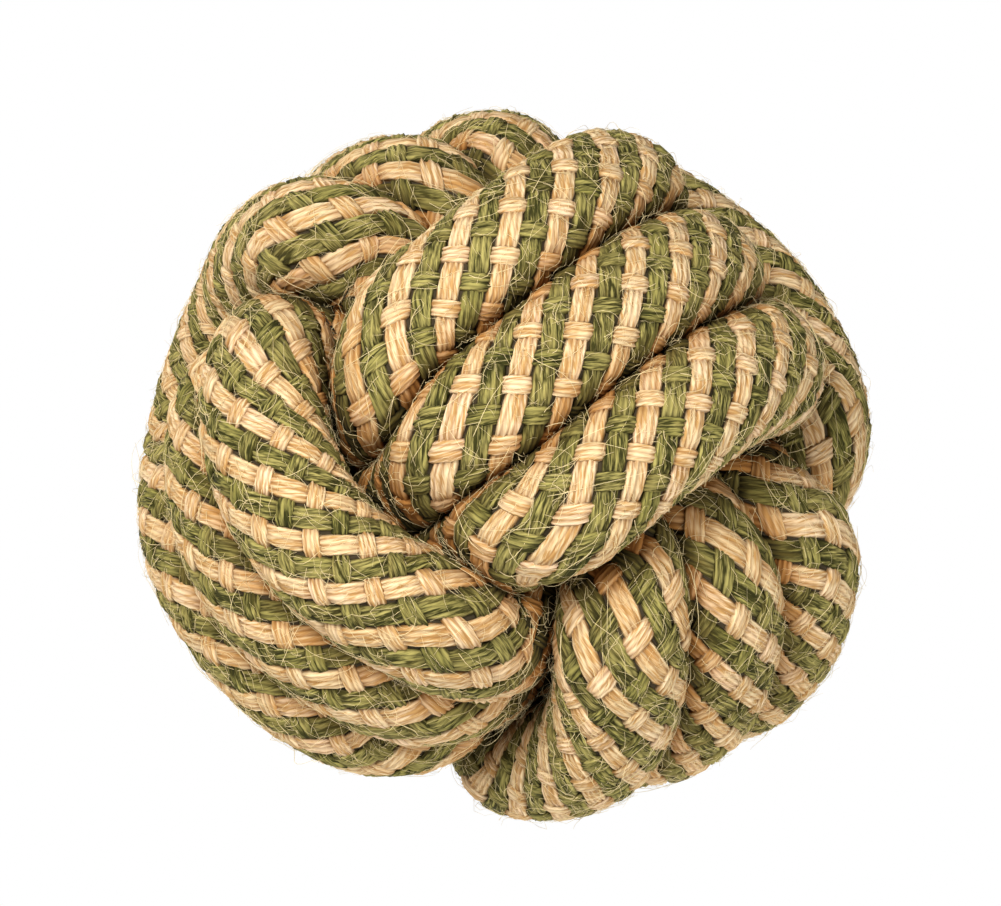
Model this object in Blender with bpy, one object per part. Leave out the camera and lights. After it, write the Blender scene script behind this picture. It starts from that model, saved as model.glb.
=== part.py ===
"""A monkey fist knot: one braided rope wound three turns each way round a wooden ball.

All sizes are in metres. The knot stands on its lowest turn, cut flat there, and the
origin lies on that flat, under the middle of the knot.

The rope makes three rings of turns, each square to the other two. A ring's turns lie
on the outside of the knot on two faces, and pass inside the next ring on two others.
"""

import math

import bmesh
import bpy
import numpy as np
from mathutils import Vector

MM = 0.001

# Rope
ROPE_DIAMETER = 17.0 * MM  # where it lies free, on the outside of the knot
PRESSED_SHARE = 0.6  # of its diameter is left where it passes inside another ring's turns
COVER_WALL = 2.2 * MM  # the braided cover, round its filler
FILLER_CLEARANCE = 0.35 * MM

# Winding
TURNS_EACH_WAY = 3
TURN_GAP = 0.7 * MM  # between neighbouring turns on the outside
PRESSED_SPREAD = 1.23  # from turn to turn inside, in pressed diameters
CROSSING_SPREAD = 0.23  # between an outer turn and those it covers, in rope diameters
LEAST_GAP = 0.5 * MM  # the knot is drawn up until its tightest place is this
CROWN_DROP = 1.1 * MM  # an edge turn lies this much nearer the middle
SLANT = 0.12  # how far a turn leans to one side for each step over a face
SQUARENESS = 2.3  # a turn's outline: 2 is an ellipse, and more has squarer shoulders
SHOULDER_SPREAD = 0.765  # how far a turn bulges over the next ring, in rope diameters
SHOULDER_RISE = 1.3  # pitches above the next ring's edge turn at which it bulges fully
THICK_FROM = 0.62  # share of a turn's reach at which it starts to swell
THICK_TO = 0.875  # and at which it has its full size
SHIFT_TURNS = 0.22  # part of a turn in which it moves over to the next place

# Where the rope goes over from one ring to the next, round a corner of the knot. Its
# place and heading there are given in the ring that it leaves.
CORNER_OUT = 0.74  # share of the outer reach, outward
CORNER_IN = -0.63  # share of the outer reach, inward
CORNER_ACROSS = -1.2  # share of the edge turn's place across
CORNER_HEADING = (-0.92, -1.08, 0.13)
CORNER_HANDLES = (0.35, 0.24, 0.26, 0.24)  # shares of the outer reach

# The rope's two ends
TAIL_TURNS = 0.147  # past the middle of the last face
TAIL_STRAIGHT = 11.7 * MM
TAIL_DIAMETER = 8.0 * MM  # drawn in by its whipping

# Whippings of waxed twine on the two ends
TWINE_DIAMETER = 0.9 * MM
WHIPPING_LENGTH = 8.0 * MM
WHIPPING_CLEARANCE = 0.3 * MM

# Core ball and base
BALL_CLEARANCE = 0.3 * MM
FLAT_SHARE = 0.1  # depth of the flat that the knot stands on, in rope diameters

# Fineness
POINTS_PER_TURN = 24
CORNER_TURNS = 0.25  # a corner counts as this much of a turn
BEND_WEIGHT = 10 * MM  # a bend of one radian takes the points of this much more length
WALK_STEP = 0.9 * MM
OUTLINE_STEPS = 600
CHECKS_PER_STRETCH = 4
NEAR_DIAMETERS = 2.05  # stretches nearer than this along the rope aren't compared
COVER_SIDE_STEPS = 1  # six sides
FILLER_SIDE_STEPS = 0  # four sides
WHIPPING_SIDES = 16
BALL_SEGMENTS = 24
BALL_RINGS = 14
SAME_WITHIN = 0.01 * MM
SHARP_FROM = math.radians(70)

ROPE_RADIUS = ROPE_DIAMETER / 2
PRESSED_RADIUS = ROPE_RADIUS * PRESSED_SHARE
OUTER_PITCH = ROPE_DIAMETER + TURN_GAP
PRESSED_PITCH = 2 * PRESSED_RADIUS * PRESSED_SPREAD
SHOULDER = SHOULDER_SPREAD * ROPE_DIAMETER
NEAR_STRETCH = ROPE_DIAMETER * NEAR_DIAMETERS
RINGS = 3
EDGE_PLACE = (TURNS_EACH_WAY - 1) / 2
LAST_FACE = TURNS_EACH_WAY - 0.5


def eased(share):
    """0 to 1 with no kink at either end."""
    share = np.clip(share, 0.0, 1.0)
    return share**3 * (share * (share * 6 - 15) + 10)


def rounded(share):
    share = np.clip(share, 0.0, 1.0)
    return share * share * (3 - 2 * share)


def quarter_outline(outer_reach, inner_reach):
    """One quarter of a turn's plain outline: lengths along it, and shares of its two reaches."""
    angle = np.linspace(0, math.pi / 2, OUTLINE_STEPS)
    inward = np.sin(angle) ** (2 / SQUARENESS)
    outward = np.cos(angle) ** (2 / SQUARENESS)
    steps = np.hypot(np.diff(inward) * (inner_reach + SHOULDER), np.diff(outward) * outer_reach)
    return np.concatenate([[0], np.cumsum(steps)]), inward, outward


def place_in_ring(turns):
    """The turn's place across the ring: from the first edge to the last, one shift a turn."""
    place = np.full_like(turns, EDGE_PLACE)
    for shift in range(1, TURNS_EACH_WAY):
        place -= eased((turns - shift + 0.25) / SHIFT_TURNS + 0.5)
    return place


def ring_route(turns, inner_reach):
    """Points (outward, inward, across) and radii of a ring, at these counts of turns.

    At 0 turns the rope is at the middle of the first face, at a quarter inside the next
    ring, and at a half at the middle of the face opposite the first.
    """
    outer_reach = outer_reach_of(inner_reach)
    walked, inward, outward = quarter_outline(outer_reach, inner_reach)
    quarters = (turns % 1.0) * 4
    quarter = np.floor(quarters).astype(int) % 4
    along = quarters - np.floor(quarters)
    along = np.where(quarter % 2 == 0, along, 1 - along) * walked[-1]
    place = place_in_ring(turns)
    crown = (place / max(EDGE_PLACE, 1)) ** 2
    in_sign = np.where(quarter < 2, 1, -1)
    out_sign = np.where((quarter == 0) | (quarter == 3), -1, 1)
    share = np.interp(along, walked, outward)
    rise = share * (outer_reach - CROWN_DROP * crown)
    free = rounded((share - THICK_FROM) / (THICK_TO - THICK_FROM))
    width = np.interp(along, walked, inward)
    across = place * (PRESSED_PITCH + (OUTER_PITCH - PRESSED_PITCH) * free)
    lean = SLANT * share * out_sign * in_sign
    across = across + lean * width * (inner_reach + SHOULDER)
    # The edge turn of the next ring, which this one passes over and then under, leans too.
    edge = EDGE_PLACE * OUTER_PITCH + SLANT * across * out_sign * in_sign
    over = rounded((rise - edge) / (SHOULDER_RISE * OUTER_PITCH))
    into = in_sign * width * (inner_reach + SHOULDER * over)
    radius = PRESSED_RADIUS + (ROPE_RADIUS - PRESSED_RADIUS) * free
    return np.stack([out_sign * rise, into, across], axis=1), radius


def outer_reach_of(inner_reach):
    return inner_reach + PRESSED_RADIUS + CROSSING_SPREAD * ROPE_DIAMETER + ROPE_RADIUS


def unit(vector):
    return vector / np.linalg.norm(vector)


def curve_between(start, leave, arrive, end):
    """Points of a cubic curve, its two ends left out."""
    count = int(np.linalg.norm(end - start) / WALK_STEP) + 2
    t = np.linspace(0, 1, count)[1:-1, None]
    ends = (1 - t) ** 3 * start + t**3 * end
    return ends + 3 * (1 - t) ** 2 * t * leave + 3 * (1 - t) * t**2 * arrive


def corner_curve(before, after, ring, outer_reach):
    """The rope's way from the end of this ring's points to the start of the next ring's."""
    across = CORNER_ACROSS * EDGE_PLACE * OUTER_PITCH
    corner = np.roll([CORNER_OUT * outer_reach, CORNER_IN * outer_reach, across], ring)
    heading = unit(np.roll(CORNER_HEADING, ring))
    leave, near, past, arrive = np.array(CORNER_HANDLES) * outer_reach
    start, end = before[-1], after[0]
    start_handle = start + leave * unit(before[-1] - before[-2])
    end_handle = end - arrive * unit(after[1] - after[0])
    first = curve_between(start, start_handle, corner - near * heading, corner)
    second = curve_between(corner, corner + past * heading, end_handle, end)
    return np.vstack([first, corner, second])


def straight_tail(tip, beside):
    """Points from one step past the tip to the rope's end, straight on."""
    ahead = unit(tip - beside)
    steps = int(TAIL_STRAIGHT / WALK_STEP)
    return tip + ahead * (TAIL_STRAIGHT / steps) * np.arange(1, steps + 1)[:, None]


def fine_route(inner_reach):
    """The whole rope's centre-line and radii, a point every WALK_STEP or so."""
    outer_reach = outer_reach_of(inner_reach)
    quarter_turn = quarter_outline(outer_reach, inner_reach)[0][-1]
    step = WALK_STEP / (4 * quarter_turn)
    spans = [
        (-TAIL_TURNS, LAST_FACE),
        (0.0, LAST_FACE),
        (0.0, LAST_FACE + TAIL_TURNS),
    ]
    points, radii = [], []
    for ring, (first, last) in enumerate(spans):
        route, radius = ring_route(np.arange(first, last, step), inner_reach)
        # The next ring's outward axis is this one's inward axis.
        route = np.roll(route, ring, axis=1)
        if points:
            curve = corner_curve(points[-1], route, ring - 1, outer_reach)
            points.append(curve)
            radii.append(np.linspace(radii[-1][-1], radius[0], len(curve)))
        points.append(route)
        radii.append(radius)
    head = straight_tail(points[0][0], points[0][1])[::-1]
    tail = straight_tail(points[-1][-1], points[-1][-2])
    points = np.vstack([head] + points + [tail])
    radii = np.concatenate([[radii[0][0]] * len(head)] + radii + [[radii[-1][-1]] * len(tail)])
    return points, radii


def lengths_along(points):
    return np.concatenate([[0], np.cumsum(np.linalg.norm(np.diff(points, axis=0), axis=1))])


def spaced_route(points, radii, count):
    """The route again, with this many points, which lie closer together in its bends."""
    headings = np.diff(points, axis=0)
    headings = headings / np.linalg.norm(headings, axis=1)[:, None]
    cosines = np.clip((headings[1:] * headings[:-1]).sum(axis=1), -1, 1)
    turned = np.concatenate([[0], np.cumsum(np.arccos(cosines))])
    measure = lengths_along(points) + BEND_WEIGHT * np.append(turned, turned[-1])
    places = np.linspace(0, measure[-1], count)
    spaced = np.stack([np.interp(places, measure, points[:, i]) for i in range(3)], axis=1)
    return spaced, np.interp(places, measure, radii)


def rope_route(inner_reach):
    """The route that the tubes follow, and their radii: POINTS_PER_TURN on each turn."""
    points, radii = fine_route(inner_reach)
    turns = RINGS * LAST_FACE + (RINGS - 1) * CORNER_TURNS + 2 * TAIL_TURNS
    points, radii = spaced_route(points, radii, int(round(turns * POINTS_PER_TURN)) + 1)
    walked = lengths_along(points)
    from_end = np.minimum(walked, walked[-1] - walked)
    narrowed = rounded(from_end / TAIL_STRAIGHT - 1)
    return points, TAIL_DIAMETER / 2 + (radii - TAIL_DIAMETER / 2) * narrowed


def least_gap(points, radii):
    """The least gap from the rope to itself, measured on points along its stretches."""
    count = (len(points) - 1) * CHECKS_PER_STRETCH + 1
    places = np.linspace(0, len(points) - 1, count)
    index = np.arange(len(points))
    line = np.stack([np.interp(places, index, points[:, i]) for i in range(3)], axis=1)
    radius = np.interp(places, index, radii)
    walked = lengths_along(line)
    least = math.inf
    for i in range(count):
        far = walked > walked[i] + NEAR_STRETCH
        if far.any():
            gaps = np.linalg.norm(line[far] - line[i], axis=1) - radius[far] - radius[i]
            least = min(least, float(gaps.min()))
    return least


def drawn_up():
    """The smallest reach of the inner turns that leaves LEAST_GAP everywhere."""
    low = ROPE_DIAMETER
    high = ROPE_DIAMETER * TURNS_EACH_WAY
    while high - low > SAME_WITHIN:
        reach = (low + high) / 2
        if least_gap(*rope_route(reach)) < LEAST_GAP:
            low = reach
        else:
            high = reach
    return high


def material(name, colour, roughness):
    made = bpy.data.materials.new(name)
    made.use_nodes = True
    shader = made.node_tree.nodes["Principled BSDF"]
    shader.inputs["Base Color"].default_value = (*colour, 1.0)
    shader.inputs["Roughness"].default_value = roughness
    shader.inputs["Metallic"].default_value = 0.0
    made.diffuse_color = (*colour, 1.0)
    return made


def curve_tube(name, points, radii, side_steps):
    """A closed tube along the points, as a curve object with a bevel and filled caps."""
    curve = bpy.data.curves.new(name, "CURVE")
    curve.dimensions = "3D"
    curve.bevel_depth = 1.0
    curve.bevel_resolution = side_steps
    curve.use_fill_caps = True
    spline = curve.splines.new("POLY")
    spline.points.add(len(points) - 1)
    spline.points.foreach_set("co", np.c_[points, np.ones(len(points))].ravel())
    spline.points.foreach_set("radius", np.asarray(radii, dtype=float))
    tube = bpy.data.objects.new(name, curve)
    bpy.context.collection.objects.link(tube)
    return tube


def mesh_tube(name, points, radii, side_steps):
    """The same tube as a mesh, every side split along the same diagonal.

    The filler's sides then stay parallel to the bore's where the rope bends and swells.
    """
    tube = curve_tube(name + "_line", points, radii, side_steps)
    mesh = bpy.data.meshes.new_from_object(tube)
    curve = tube.data
    bpy.data.objects.remove(tube)
    bpy.data.curves.remove(curve)
    mesh.name = name
    shape = bmesh.new()
    shape.from_mesh(mesh)
    bmesh.ops.triangulate(shape, faces=shape.faces, quad_method="FIXED")
    shape.to_mesh(mesh)
    shape.free()
    made = bpy.data.objects.new(name, mesh)
    bpy.context.collection.objects.link(made)
    mesh.shade_smooth()
    mesh.set_sharp_from_angle(angle=SHARP_FROM)
    return made


def cut(target, cutter):
    cutter.hide_render = True
    cutter.display_type = "WIRE"
    made = target.modifiers.new("cut_" + cutter.name, "BOOLEAN")
    made.operation = "DIFFERENCE"
    made.object = cutter


def bore_radii(radii):
    """Six flat sides lie nearer the middle than their edges, and the wall is measured there."""
    return radii * math.cos(math.pi / 6) - COVER_WALL


def make_cover(points, radii):
    """The braided cover: a tube with a bore from end to end, cut flat where it stands."""
    cover = mesh_tube("rope_cover", points, radii, COVER_SIDE_STEPS)
    past = points.copy()
    past[0] += unit(points[0] - points[1]) * COVER_WALL
    past[-1] += unit(points[-1] - points[-2]) * COVER_WALL
    cut(cover, mesh_tube("rope_bore", past, bore_radii(radii), FILLER_SIDE_STEPS))
    width = 2 * np.abs(points).max() + 2 * ROPE_DIAMETER
    bpy.ops.mesh.primitive_cube_add(size=width, location=(0, 0, -width / 2))
    floor = bpy.context.object
    floor.name = "floor_cutter"
    cut(cover, floor)
    cover.data.materials.append(material("striped_jute", (0.52, 0.42, 0.22), 0.9))


def make_filler(points, radii):
    """The rope's soft filler, which fills the cover's bore."""
    inner = bore_radii(radii) - FILLER_CLEARANCE / math.cos(math.pi / 4)
    filler = mesh_tube("rope_filler", points, inner, FILLER_SIDE_STEPS)
    filler.data.materials.append(material("cotton_filler", (0.78, 0.74, 0.66), 0.95))


def make_ball(centre, reach):
    """The wooden ball that the inner turns close on."""
    radius = reach - PRESSED_RADIUS - BALL_CLEARANCE
    bpy.ops.mesh.primitive_uv_sphere_add(
        segments=BALL_SEGMENTS, ring_count=BALL_RINGS, radius=radius, location=centre
    )
    ball = bpy.context.object
    ball.name = "core_ball"
    ball.data.shade_smooth()
    ball.data.materials.append(material("beech", (0.62, 0.43, 0.26), 0.55))
    return radius


def make_whipping(name, end, inside):
    """A sleeve of twine on the last stretch of the rope, from its end inwards."""
    inner = (TAIL_DIAMETER / 2 + WHIPPING_CLEARANCE) / math.cos(math.pi / WHIPPING_SIDES)
    profile = [
        (inner, 0.0),
        (inner, WHIPPING_LENGTH),
        (inner + TWINE_DIAMETER, WHIPPING_LENGTH),
        (inner + TWINE_DIAMETER, 0.0),
    ]
    mesh = bpy.data.meshes.new(name)
    edges = [(0, 1), (1, 2), (2, 3), (3, 0)]
    mesh.from_pydata([(radius, 0.0, height) for radius, height in profile], edges, [])
    sleeve = bpy.data.objects.new(name, mesh)
    bpy.context.collection.objects.link(sleeve)
    turn = sleeve.modifiers.new("turned", "SCREW")
    turn.axis = "Z"
    turn.steps = WHIPPING_SIDES
    turn.render_steps = WHIPPING_SIDES
    turn.use_merge_vertices = True
    turn.merge_threshold = SAME_WITHIN
    ahead = Vector(unit(inside - end))
    margin = (TAIL_STRAIGHT - WHIPPING_LENGTH) / 2
    sleeve.location = Vector(end) + ahead * margin
    sleeve.rotation_mode = "QUATERNION"
    sleeve.rotation_quaternion = ahead.to_track_quat("Z", "Y")
    sleeve.data.materials.append(material("waxed_twine", (0.30, 0.20, 0.11), 0.7))


def main():
    for old in list(bpy.data.objects):
        bpy.data.objects.remove(old)
    reach = drawn_up()
    points, radii = rope_route(reach)
    gap = least_gap(points, radii)
    height = outer_reach_of(reach) + ROPE_RADIUS - FLAT_SHARE * ROPE_DIAMETER
    points = points + np.array([0.0, 0.0, height])
    make_cover(points, radii)
    make_filler(points, radii)
    ball_radius = make_ball((0.0, 0.0, height), reach)
    make_whipping("start_whipping", points[0], points[1])
    make_whipping("end_whipping", points[-1], points[-2])
    print(f"rope {lengths_along(points)[-1]:.3f} m, least gap to itself {gap / MM:.2f} mm")
    print(f"ball {2 * ball_radius / MM:.1f} mm, outer reach {outer_reach_of(reach) / MM:.1f} mm")


main()
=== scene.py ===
"""The look of the monkey fist knot: its braided jute rope, with every strand modelled, its
loose fibres, its wooden ball, its cotton filler and the twine whippings on its two ends.

All sizes are in metres. The rope follows the part's route, soft and drawn up by hand.
"""

import math
from collections import namedtuple

import bpy
import numpy as np
from mathutils import Matrix, Vector
from mathutils.bvhtree import BVHTree


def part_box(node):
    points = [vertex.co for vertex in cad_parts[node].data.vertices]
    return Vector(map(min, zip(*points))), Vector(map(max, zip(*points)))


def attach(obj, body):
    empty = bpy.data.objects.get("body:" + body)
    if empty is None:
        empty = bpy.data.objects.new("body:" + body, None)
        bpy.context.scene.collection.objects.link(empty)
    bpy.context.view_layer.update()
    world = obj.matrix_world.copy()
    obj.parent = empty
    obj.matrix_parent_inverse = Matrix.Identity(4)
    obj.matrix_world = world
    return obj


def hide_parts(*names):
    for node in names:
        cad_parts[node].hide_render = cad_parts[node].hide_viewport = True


MM = 0.001
SEED = 7

# Rope and winding, as in the part
ROPE_DIAMETER = 17.0 * MM  # where it lies free, on the outside of the knot
PRESSED_SHARE = 0.6  # of its diameter is left where it passes inside another ring's turns
TURNS_EACH_WAY = 3
PRESSED_SPREAD = 1.23  # from turn to turn inside, in pressed diameters
CROSSING_SPREAD = 0.23  # between an outer turn and those it covers, in rope diameters
SHOULDER_RISE = 1.3  # pitches above the next ring's edge turn at which a turn bulges fully
THICK_FROM = 0.62  # share of a turn's reach at which it starts to swell
THICK_TO = 0.875  # and at which it has its full size
SHIFT_TURNS = 0.22  # part of a turn in which it moves over to the next place
SHIFT_LEAD = 0.25  # and it is halfway over this much before each whole turn
CORNER_OUT = 0.74  # share of the outer reach, outward, where it goes over to the next ring
CORNER_IN = -0.63  # share of the outer reach, inward
CORNER_ACROSS = -1.2  # share of the edge turn's place across
CORNER_HEADING = (-0.92, -1.08, 0.13)
CORNER_HANDLES = (0.35, 0.24, 0.26, 0.24)  # shares of the outer reach
TAIL_TURNS = 0.147  # past the middle of the last face
TAIL_STRAIGHT = 11.7 * MM
TAIL_DIAMETER = 8.0 * MM  # drawn in by its whipping
TWINE_DIAMETER = 0.9 * MM
WHIPPING_LENGTH = 8.0 * MM
WHIPPING_CLEARANCE = 0.3 * MM
BALL_CLEARANCE = 0.3 * MM
WALK_STEP = 0.9 * MM
OUTLINE_STEPS = 600

# The knot was drawn up by hand, so these aren't the part's, and its rings aren't alike
CROWN_DROP = 1.8 * MM  # an edge turn lies this much nearer the middle
SQUARENESS = 1.94  # a turn's outline: 2 is an ellipse, and less has flatter shoulders
SHOULDER_SPREAD = 0.738  # how far a turn bulges over the next ring, in rope diameters
SLANTS = (-0.02, -0.07, 0.18)  # how far each ring's turns lean for each step over a face
TURN_GAPS = (1.2 * MM, 0.9 * MM, 0.3 * MM)  # between each ring's turns
PUSHED_OUT = ((0.0, 4.0 * MM), (-0.2 * MM, 0.3 * MM), (0.0, 1.8 * MM))  # each ring's two faces
LONG_WAY = (-0.38, 0.93, -0.04)  # the whole knot is a little longer this way
LONGER = 0.007
NARROW_WAY = (-0.78, -0.29, 0.56)  # and a little narrower that way
NARROWER = 0.068

# How the soft rope fills the room between its neighbours
FULL_RADIUS = 9.15 * MM  # of a round section of the same area
MOST_BULGE = 1.05  # widest reach of a section, in full radii
LEAST_REACH = 2.0 * MM
OPEN = 1.0  # a reach that nothing stops
NEAR_TURN = 2 * ROPE_DIAMETER  # past this, a turn doesn't press on another
SAME_TURN = 1.6 * ROPE_DIAMETER  # along the rope, within which it doesn't press on itself
THINNER_GIVES = 0.6  # share of two turns' difference in radius that the thinner gives way
PRESS_GAP = 0.25 * MM  # left between two turns that press together
FLOOR_GAP = 0.8 * MM  # the strands' own rise above the rope's surface
CROWN_FLAT = 0.06  # how much flatter a section is on its side away from the ball
SHOULDER_FILL = 0.04  # and how much fuller on either side of that
CREASE_WIDTH = 2.6 * MM  # how far the painted brown shade of a crease reaches
SECTION_SIDES = 40
SECTION_HALVINGS = 20
SMOOTHINGS = 3
ROUTE_STEP = 1.0 * MM
FIRST_SIDE = (0.3, 0.5, 0.8)  # any way but along the rope's start

# Braid: twelve stripes wind round the rope, and the cells of each show its own strand
# lengthwise and another strand across it, by turns. A float is a strand's seen part.
STRIPES = 12
STRIPE_ANGLE = math.radians(44)  # from the rope's axis
STRIPE_HAND = -1
CELLS_ROUND = 10  # cells that a stripe gains on itself for each time round the rope
LENGTHWISE_HALF = 3.2 * MM  # half a float's length, where the strand follows its stripe
LENGTHWISE_WIDTH = 3.0 * MM
CROSSWISE_HALF = 2.1 * MM  # and where it crosses the stripe
CROSSWISE_WIDTH = 2.6 * MM
CROSSWISE_RAISE = 0.12 * MM
YARNS = 4
RIB_DEPTH = 0.2 * MM  # of the valleys between a float's yarns
SIDE_DROP = 0.38 * MM  # of a float's two edges
SIDE_ROUNDING = 0.25 * MM
END_NARROWING = 0.12
STATIONS = np.array([-1.0, -0.8, -0.4, 0.4, 0.8, 1.0])  # along a float, in half lengths
STATION_RISE = np.array([-0.5, 0.02, 0.34, 0.34, 0.02, -0.5]) * MM
ACROSS_POINTS = 2 * YARNS + 1
BASE_INSET = 0.5 * MM  # the inside of the braid, under its strands, painted near black as its shadow
BASE_EVERY = 2  # of the rope's own sections and sides

# How unevenly the floats are laid
YARN_WANDER = 0.022  # of a yarn, as a share of the float's width
POINT_WANDER = 0.008  # of a point on it
WIDTH_SPREAD = 0.03
END_STAGGER = 0.14 * MM
TILT_SPREAD = math.radians(2.5)
YARN_RISE_SPREAD = 0.06 * MM
POINT_RISE_SPREAD = 0.035 * MM

# Tones and painted shade that the material reads, from 0 to 1
OWN_TONE = 0.6  # share of a yarn's tone that is its own, and not its float's
OWN_HUE = 0.5
RIB_SHADE = 0.7  # in the valleys between a float's yarns
END_SHADE_FROM = 0.6  # toward a float's ends, in half lengths
END_SHADE = 1.9  # gained from there on, for each half length
GRAIN_SPREAD = 50  # of the floats' places in the grain, so that no two look alike
GRAIN_SLANT = 0.2

# What can be seen of the braid
SIGHT_LINES = 60  # tried from each cell
SIGHT_RISE = 0.7 * MM
SIGHT_SPOTS = (-0.5, 0.0, 0.5)  # along the rope, in stripe widths
LEAST_SLOPE = 0.05  # of a sight line, away from the surface

# Loose fibres, whose average length is four times the least. Their curl is in radians.
Fibres = namedtuple("Fibres", "number least_length root_radius stand_off curl points")
LONG_FIBRES = Fibres(4200, 1.9 * MM, 0.045 * MM, 0.36 * MM, 1.3, 10)
FUZZ = Fibres(16000, 0.7 * MM, 0.034 * MM, 0.26 * MM, 1.0, 4)
ROOT_SPREAD = 1.4 * MM  # of a fibre's start, round its cell's middle
ROOT_HEIGHT = 0.3 * MM
HEADING_SPREAD = 0.5  # radians, off the two directions in which the strands lie
FIBRE_WAVE = 0.1 * MM
FIBRE_TAPER = 0.6
FIBRE_FLOOR_GAP = 0.1 * MM

# Filler, whippings and ball
FILLER_LOBES = 7
LOBE_DEPTH = 0.1
FILLER_SHARE = 0.6  # of the rope's least half width
FILLER_LAY = 3 * ROPE_DIAMETER  # in which its yarns go once round
FILLER_SIDES = 28
FILLER_EVERY = 3  # of the rope's own sections
TWINE_SIDES = 8
TWINE_POINTS = 28  # on each turn of a whipping
TWINE_SQUEEZE = 0.49  # of its diameter is its radius, so that its turns don't touch
TWINE_START = (0.2, 0.7, 0.4)  # any way but along the rope's end
BALL_RINGS = 64
BALL_SIDES = 96
SCORE_DEPTH = 0.25 * MM
SCORE_WIDTH = 0.02  # radians
SCORES_AT = (-0.6, 0.0, 0.6)  # radians from the ball's equator
PADS_AT = 0.985  # of its radius, above and below its middle

# A piece's picture map: a tube's sides fill its lower part, and the two caps its top
MAP_MARGIN = 0.02
SIDES_HEIGHT = 0.84
ROW_FILL = 0.9
CAPS_AT = (0.25, 0.75)
CAP_HEIGHT = 0.93
CAP_REACH = (0.2, 0.05)

ROPE_RADIUS = ROPE_DIAMETER / 2
PRESSED_RADIUS = ROPE_RADIUS * PRESSED_SHARE
OUTER_PITCHES = tuple(ROPE_DIAMETER + gap for gap in TURN_GAPS)
PRESSED_PITCH = 2 * PRESSED_RADIUS * PRESSED_SPREAD
SHOULDER = SHOULDER_SPREAD * ROPE_DIAMETER
EDGE_PLACE = (TURNS_EACH_WAY - 1) / 2
LAST_FACE = TURNS_EACH_WAY - 0.5
STRIPE_STEP = math.pi * ROPE_DIAMETER * math.cos(STRIPE_ANGLE) / STRIPES
CELL_STEP = math.pi * ROPE_DIAMETER * math.sin(STRIPE_ANGLE) / CELLS_ROUND

Ball = namedtuple("Ball", "middle radius")
Rope = namedtuple("Rope", "line step surface normals crease")
Cells = namedtuple("Cells", "along_stripe across_stripe lengthwise straw")

rng = np.random.default_rng(SEED)


def eased(share):
    """0 to 1 with no kink at either end."""
    share = np.clip(share, 0.0, 1.0)
    return share**3 * (share * (share * 6 - 15) + 10)


def rounded(share):
    share = np.clip(share, 0.0, 1.0)
    return share * share * (3 - 2 * share)


def unit(vectors):
    return vectors / np.linalg.norm(vectors, axis=-1, keepdims=True)


def lengths_along(points):
    return np.concatenate([[0], np.cumsum(np.linalg.norm(np.diff(points, axis=0), axis=1))])


def even_angles(count):
    return np.arange(count) * 2 * math.pi / count


# The rope's route


def outer_reach_of(inner_reach):
    return inner_reach + PRESSED_RADIUS + CROSSING_SPREAD * ROPE_DIAMETER + ROPE_RADIUS


def quarter_outline(outer_reach, inner_reach):
    """One quarter of a turn's plain outline: lengths along it, and shares of its two reaches."""
    angle = np.linspace(0, math.pi / 2, OUTLINE_STEPS)
    inward = np.sin(angle) ** (2 / SQUARENESS)
    outward = np.cos(angle) ** (2 / SQUARENESS)
    steps = np.hypot(np.diff(inward) * (inner_reach + SHOULDER), np.diff(outward) * outer_reach)
    return np.concatenate([[0], np.cumsum(steps)]), inward, outward


def place_in_ring(turns):
    """The turn's place across the ring: from the first edge to the last, one shift a turn."""
    place = np.full_like(turns, EDGE_PLACE)
    for shift in range(1, TURNS_EACH_WAY):
        place -= eased((turns - shift + SHIFT_LEAD) / SHIFT_TURNS + 0.5)
    return place


def ring_route(turns, inner_reach, ring):
    """Points (outward, inward, across) and radii of a ring, at these counts of turns.

    At 0 turns the rope is at the middle of the first face, at a quarter inside the next
    ring, and at a half at the middle of the face opposite the first.
    """
    outer_reach = outer_reach_of(inner_reach)
    slant, pitch = SLANTS[ring], OUTER_PITCHES[ring]
    walked, inward, outward = quarter_outline(outer_reach, inner_reach)
    quarters = (turns % 1.0) * 4
    quarter = np.floor(quarters).astype(int) % 4
    along = quarters - np.floor(quarters)
    along = np.where(quarter % 2 == 0, along, 1 - along) * walked[-1]
    place = place_in_ring(turns)
    crown = (place / max(EDGE_PLACE, 1)) ** 2
    in_sign = np.where(quarter < 2, 1, -1)
    out_sign = np.where((quarter == 0) | (quarter == 3), -1, 1)
    share = np.interp(along, walked, outward)
    rise = share * (outer_reach - CROWN_DROP * crown)
    free = rounded((share - THICK_FROM) / (THICK_TO - THICK_FROM))
    width = np.interp(along, walked, inward)
    across = place * (PRESSED_PITCH + (pitch - PRESSED_PITCH) * free)
    lean = slant * share * out_sign * in_sign
    across = across + lean * width * (inner_reach + SHOULDER)
    # The edge turn of the next ring, which this one passes over and then under, leans too.
    edge = EDGE_PLACE * pitch + slant * across * out_sign * in_sign
    over = rounded((rise - edge) / (SHOULDER_RISE * pitch))
    into = in_sign * width * (inner_reach + SHOULDER * over)
    radius = PRESSED_RADIUS + (ROPE_RADIUS - PRESSED_RADIUS) * free
    rise += np.where(out_sign < 0, *PUSHED_OUT[ring]) * share**2
    return np.stack([out_sign * rise, into, across], axis=1), radius


def curve_between(start, leave, arrive, end):
    """Points of a cubic curve, its two ends left out."""
    count = int(np.linalg.norm(end - start) / WALK_STEP) + 2
    t = np.linspace(0, 1, count)[1:-1, None]
    ends = (1 - t) ** 3 * start + t**3 * end
    return ends + 3 * (1 - t) ** 2 * t * leave + 3 * (1 - t) * t**2 * arrive


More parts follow.
